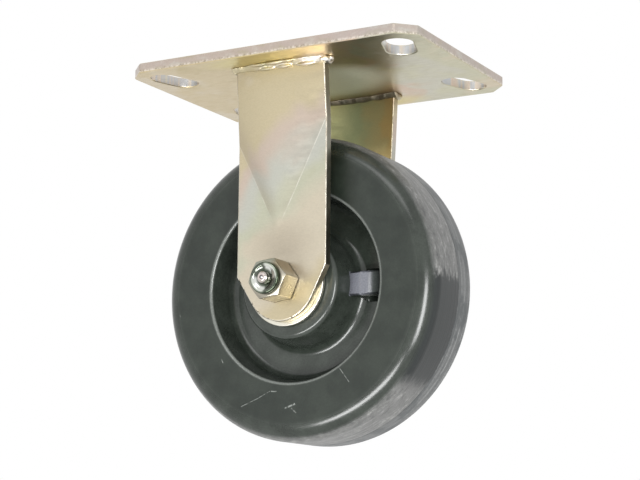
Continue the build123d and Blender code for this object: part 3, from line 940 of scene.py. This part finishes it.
# Lock nut
# A hexagon nut whose round collar is rolled over a ring of natural nylon, which grips the
# bolt's thread. It is plated like the bolt.
nut_low, nut_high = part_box("lock_nut")
hexagon_height = 0.0090
nut_edge_round = 0.00025
collar_inner_radius = 0.0075
collar_outer_radius = 0.0083
rolled_lip_radius = 0.0067
lip_thickness = 0.0008
nut_steps = 96
nut_front = nut_low.y + hexagon_height
collar_foot = nut_front - 0.0005
nut_mesh = bmesh.new()
hexagon(nut_mesh, nut_low.y, nut_front, (nut_low.y, nut_front))
round_rims(nut_mesh, sharp_turn, nut_edge_round, 3)
turned(nut_mesh, [
    (collar_inner_radius, collar_foot, 0, 0), (collar_outer_radius, collar_foot, 0, 0),
    (collar_outer_radius, nut_high.y, 0.0012, 7), (rolled_lip_radius, nut_high.y, 0.0004, 3),
    (rolled_lip_radius, nut_high.y - lip_thickness, 0, 0),
    (collar_inner_radius, nut_high.y - lip_thickness, 0, 0)], nut_steps)
keep_flats(piece_from(nut_mesh, "collared_nut", "bracket", ["lock_nut"], "zinc_bolt", bolt_zinc))
nylon, nylon_tree, nylon_shader = new_finish("natural nylon", {"Subsurface Weight": 0.1})
nylon_haze = clouds(nylon_tree, stretched(nylon_tree), 0.002, 3.0)
nylon_colour = ramp(nylon_tree, nylon_haze, [(0.3, (0.66, 0.64, 0.56)), (0.7, (0.80, 0.79, 0.72))])
nylon_gloss = ramp(nylon_tree, nylon_haze, [(0.3, 0.4), (0.7, 0.55)])
connect(nylon_tree, nylon_shader, {"Base Color": nylon_colour, "Roughness": nylon_gloss})
dress("nut_insert", nylon)

# Welds
# One arc-welded fillet all round the top of each leg, laid by hand: overlapping ripples of
# uneven size in two rough runs, with a blob where the arc stopped, plated bright with the rest.
weld_overhang = 0.0012
ripple_step = 0.0009
ripple_shape = (0.0010, 0.0012, 0.0030)
weld_throat = 0.0006
end_steps = 9
weld_grain = 0.00032

# the streaks where the arc was drawn back: x, how far out of the leg and down, length and girth
arc_streaks = (
    (-0.009, 0.0022, 0.0005, 0.0060, 0.0009), (-0.001, 0.0025, 0.0007, 0.0050, 0.0010),
    (0.006, 0.0022, 0.0005, 0.0040, 0.0009), (-0.006, 0.0004, 0.0026, 0.0052, 0.0008),
    (0.004, 0.0006, 0.0026, 0.0048, 0.0009), (0.016, 0.0009, 0.0028, 0.0060, 0.0010))

# the lumps where it stopped: how far past the leg's edge, across, down, and their size
stop_lumps = (
    (0.0014, -0.0006, 0.0016, 0.0022), (0.0030, 0.0010, 0.0008, 0.0018),
    (0.0002, -0.0020, 0.0018, 0.0015))
BROWN_FILM = (0.50, 0.44, 0.28)
SILVER_FILM = (0.80, 0.76, 0.70)
SHADED_INNER_WELD = (0.36, 0.31, 0.23)


def ripple(bm, place, shape, lean=0.0):
    """One frozen ripple of the weld, leaning between the plate and the leg."""
    bmesh.ops.create_icosphere(
        bm, subdivisions=2, radius=1.0, matrix=(
            Matrix.Translation(place) @ Matrix.Rotation(lean, 4, "X") @ Matrix.Diagonal((*shape, 1))))


def weld_mesh(seed):
    """The near leg's weld: ripples outside and inside, both ends, rough streaks and a stop."""
    hand = random.Random(seed)
    bm = bmesh.new()
    reach = leg_width / 2 + weld_overhang
    count = round(2 * reach / ripple_step)
    for index in range(count + 1):
        x = -reach + 2 * reach * index / count
        outside = leg_face - bow_out(min(max(x, leg_low.x), leg_high.x), leg_top)
        for face, way, place_seed in ((outside, -1, 0.7), (outside + leg_thickness, 1, 5.7)):
            swell = 1 + 0.40 * noise.noise((x * 130, seed, place_seed)) + hand.uniform(-0.06, 0.06)
            wander = 0.0009 * noise.noise((x * 150 + seed, place_seed, seed))
            place = (x, face + way * weld_throat + wander, leg_top - weld_throat - wander * 0.5)
            ripple(bm, place, [size * swell for size in ripple_shape], -way * pi / 4)
    for side in (-1, 1):
        outside = leg_face - bow_out(leg_high.x * side, leg_top)
        for step in range(end_steps + 1):
            inward = leg_thickness * step / end_steps
            place = (side * (leg_high.x + 0.0005), outside + inward, leg_top - 0.0008)
            ripple(bm, place, (0.0016, 0.0010, hand.uniform(0.0018, 0.0023)))
    for x, out, drop, length, girth in arc_streaks:
        outside = leg_face - bow_out(x, leg_top)
        ripple(bm, (x, outside - out, leg_top - drop), (length, girth, girth))
    stop = leg_face - bow_out(leg_high.x, leg_top)
    for along, across, drop, size in stop_lumps:
        ripple(bm, (leg_high.x + along, stop + across, leg_top - drop), (size, size, size * 0.8))
    for vert in bm.verts:
        vert.co.z = min(vert.co.z, leg_top - 0.00002)
    return bm


def weld_metal():
    """The welds' film: olive brown where a run starts, silver where it stops, painted darker inside as
    shade.
    """
    material, tree, shader = new_finish("yellow zinc on weld metal", {"Metallic": 1.0})
    place = stretched(tree)
    film = chromate(tree, place, (1.0, 0.3, 0.6), 0.022, 0.55, 0.6)
    x, y, z = split(tree, place)
    along = times(tree, times(tree, x, math_of(tree, "SIGN", y)), -1 / leg_width)
    along = plus(tree, along, times(tree, clouds(tree, place, 0.004, 3.0), 0.5))
    brown = ramp(tree, along, [(0.0, 0.75), (0.35, 0)])
    silver = ramp(tree, along, [(0.45, 0), (0.70, 0.9)])
    film = mixed(tree, brown, film, BROWN_FILM)
    film = mixed(tree, silver, film, SILVER_FILM)
    # painted shade on the welds' inner sides, between the legs under the plate
    inner_weld_shade = ramp_over(tree, size_of(tree, y), [(0.0375, 0.75), (0.0395, 0)], "LINEAR")
    film = mixed(tree, inner_weld_shade, film, SHADED_INNER_WELD)
    plated(tree, shader, film, (1, 1, 1), 0.36)
    return material


weld_zinc = weld_metal()
for node, seed, flip in (("near_weld", 3, False), ("far_weld", 8, True)):
    bead = weld_mesh(seed)
    if flip:
        bmesh.ops.rotate(bead, verts=bead.verts[:], cent=(0, 0, 0), matrix=half_turn)
    weld = piece_from(bead, node + "_bead", "bracket", [node], "weld", weld_zinc)
    fused = weld.modifiers.new("ripples fused", "REMESH")
    fused.mode = "VOXEL"
    fused.voxel_size = weld_grain
    fused.use_smooth_shade = True
    eased = weld.modifiers.new("surface tension", "SMOOTH")
    eased.factor = 0.5
    eased.iterations = 5

# Floor, lamps and world
# A pale floor lies well below the castor, which hangs in a white room. Four soft boxes stand in
# front of it: above, below, to the right, and a faint one to the left.
floor_height = -0.80
floor_reach = 6
floor_mesh = bmesh.new()
bmesh.ops.create_grid(floor_mesh, x_segments=1, y_segments=1, size=floor_reach)
bmesh.ops.translate(floor_mesh, verts=floor_mesh.verts[:], vec=(0, 0, floor_height))
floor_data = bpy.data.meshes.new("floor")
floor_mesh.to_mesh(floor_data)
floor_mesh.free()
floor_paint, floor_tree, floor_shader = new_finish(
    "pale floor", {"Base Color": (0.82, 0.82, 0.81, 1), "Roughness": 0.8})
floor_data.materials.append(floor_paint)
floor_glow = add_node(floor_tree, "ShaderNodeEmission", [("Color", (1, 1, 1, 1)), ("Strength", 1.0)])
floor_rays = add_node(floor_tree, "ShaderNodeLightPath")
floor_seen = math_of(
    floor_tree, "MAXIMUM", floor_rays.outputs["Is Glossy Ray"], floor_rays.outputs["Is Transmission Ray"])
floor_choice = add_node(floor_tree, "ShaderNodeMixShader", [
    (0, floor_seen), (1, floor_shader.outputs[0]), (2, floor_glow.outputs[0])])
floor_tree.links.new(floor_choice.outputs[0], floor_tree.nodes["Material Output"].inputs["Surface"])
studio_floor = bpy.data.objects.new("studio_floor", floor_data)
bpy.context.scene.collection.objects.link(studio_floor)

world = bpy.data.worlds.new("white room")
bpy.context.scene.world = world
world.use_nodes = True
air = world.node_tree
room = air.nodes["Background"]
room.inputs["Color"].default_value = (1, 1, 1, 1)
room.inputs["Strength"].default_value = 0.50
backdrop = add_node(air, "ShaderNodeBackground", [("Color", (1, 1, 1, 1)), ("Strength", 1.0)])
rays = add_node(air, "ShaderNodeLightPath")
seen = math_of(air, "MAXIMUM", rays.outputs["Is Camera Ray"], math_of(
    air, "MAXIMUM", rays.outputs["Is Glossy Ray"], rays.outputs["Is Transmission Ray"]))
choice = add_node(air, "ShaderNodeMixShader", [
    (0, seen), (1, room.outputs[0]), (2, backdrop.outputs[0])])
air.links.new(choice.outputs[0], air.nodes["World Output"].inputs["Surface"])


def soft_box(name, toward, distance, width, height, radiance):
    """A rectangular lamp out in one direction from the axle, which it faces."""
    lamp = bpy.data.lights.new(name, "AREA")
    lamp.shape = "RECTANGLE"
    lamp.size = width
    lamp.size_y = height
    lamp.energy = radiance * pi * width * height
    away = Vector(toward).normalized()
    tall = (Vector((0, 0, 1)) - away * away.z).normalized()
    made = bpy.data.objects.new(name, lamp)
    made.matrix_world = Matrix.Translation(Vector((0, 0, axle_height)) + away * distance) @ Matrix(
        (tall.cross(away), tall, away)).transposed().to_4x4()
    made.visible_camera = False
    bpy.context.scene.collection.objects.link(made)


soft_box("key", (-0.48, -0.86, 0.20), 1.5, 0.75, 0.75, 0.25)
soft_box("high box", (0.03, -0.80, 0.60), 1.5, 0.70, 0.36, 2.6)
soft_box("low box", (0.0, -0.86, -0.51), 0.85, 0.62, 0.18, 16.5)
soft_box("right box", (0.68, -0.73, -0.13), 1.2, 0.34, 0.60, 16.0)

# Camera
# The photograph's own view, from the right and from below, where the plate's underside shows.
camera_azimuth = radians(29.41)
camera_elevation = radians(-10.58)
camera_roll = radians(0.50)
camera_distance = 0.8695
camera_target = Vector((0.00109, 0, -0.08742))
lens_length = 96.68
back = Vector((
    sin(camera_azimuth) * cos(camera_elevation), -cos(camera_azimuth) * cos(camera_elevation),
    sin(camera_elevation)))
level = Vector((cos(camera_azimuth), sin(camera_azimuth), 0))
upward = back.cross(level)
right = level * cos(camera_roll) + upward * sin(camera_roll)
camera_data = bpy.data.cameras.new("camera")
camera_data.lens = lens_length
camera_data.sensor_width = 36
camera = bpy.data.objects.new("camera", camera_data)
camera.matrix_world = Matrix.Translation(camera_target + back * camera_distance) @ Matrix(
    (right, back.cross(right), back)).transposed().to_4x4()
bpy.context.scene.collection.objects.link(camera)
bpy.context.scene.camera = camera
bpy.context.scene.view_settings.view_transform = "Standard"
